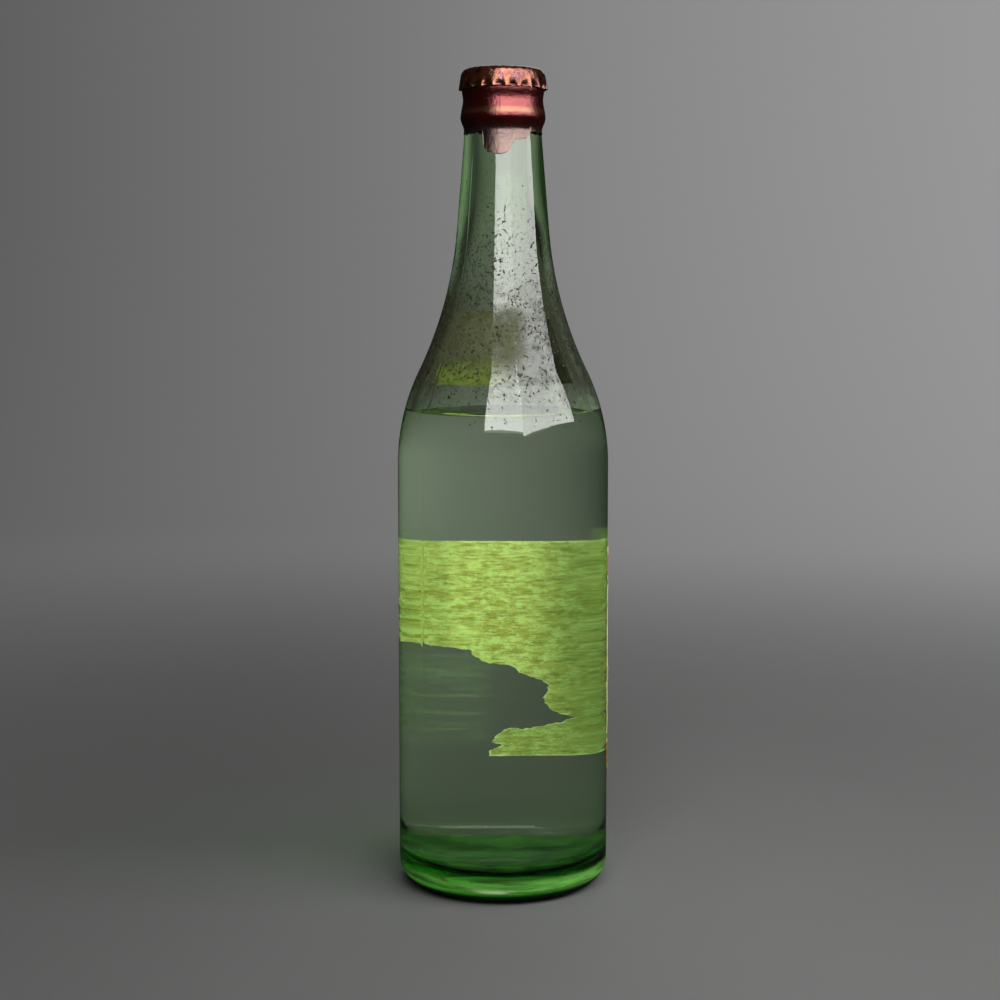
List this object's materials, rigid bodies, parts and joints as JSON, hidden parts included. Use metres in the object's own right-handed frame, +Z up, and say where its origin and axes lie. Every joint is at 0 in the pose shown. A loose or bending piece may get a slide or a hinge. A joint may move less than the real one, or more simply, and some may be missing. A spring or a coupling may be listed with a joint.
{
  "type": "glass soda bottle",
  "caption": "Green glass drinks bottle with sloping shoulder, crown cork under torn red foil, paper labels and drink inside.",
  "frame": {"origin": "centre of the plane the bottle stands on, on the bottle's axis", "axes": "+Z up along the bottle's axis, +Y towards the labelled side, +X to the right of a person who looks along +Y"},
  "size_m": [0.0687, 0.0687, 0.265],
  "materials": {
    "green_glass": "glossy, pale green, dusty on the shoulder",
    "tinplate": "bright tin, dulled by age",
    "cork": "pressed cork grain",
    "crown_foil": "crinkled metallic foil, red worn to gold and pink",
    "neck_foil": "smooth red metallic foil with torn edges",
    "body_paper": "aged yellow paper, wrinkled and torn",
    "neck_paper": "aged, dirty paper",
    "drink": "clear liquid"
  },
  "bodies": {
    "bottle": {"bottle": "green_glass", "neck_foil": "neck_foil", "body_label": "body_paper", "neck_label": "neck_paper", "drink": "drink"},
    "cap": {"crown_shell": "tinplate", "cork_liner": "cork", "crown_foil": "crown_foil"}
  },
  "joints": [
    {"name": "cap_lift", "type": "slide", "parent": "bottle", "child": "cap", "axis": [0, 0, 1], "range_m": [0, 0.04]}
  ]
}
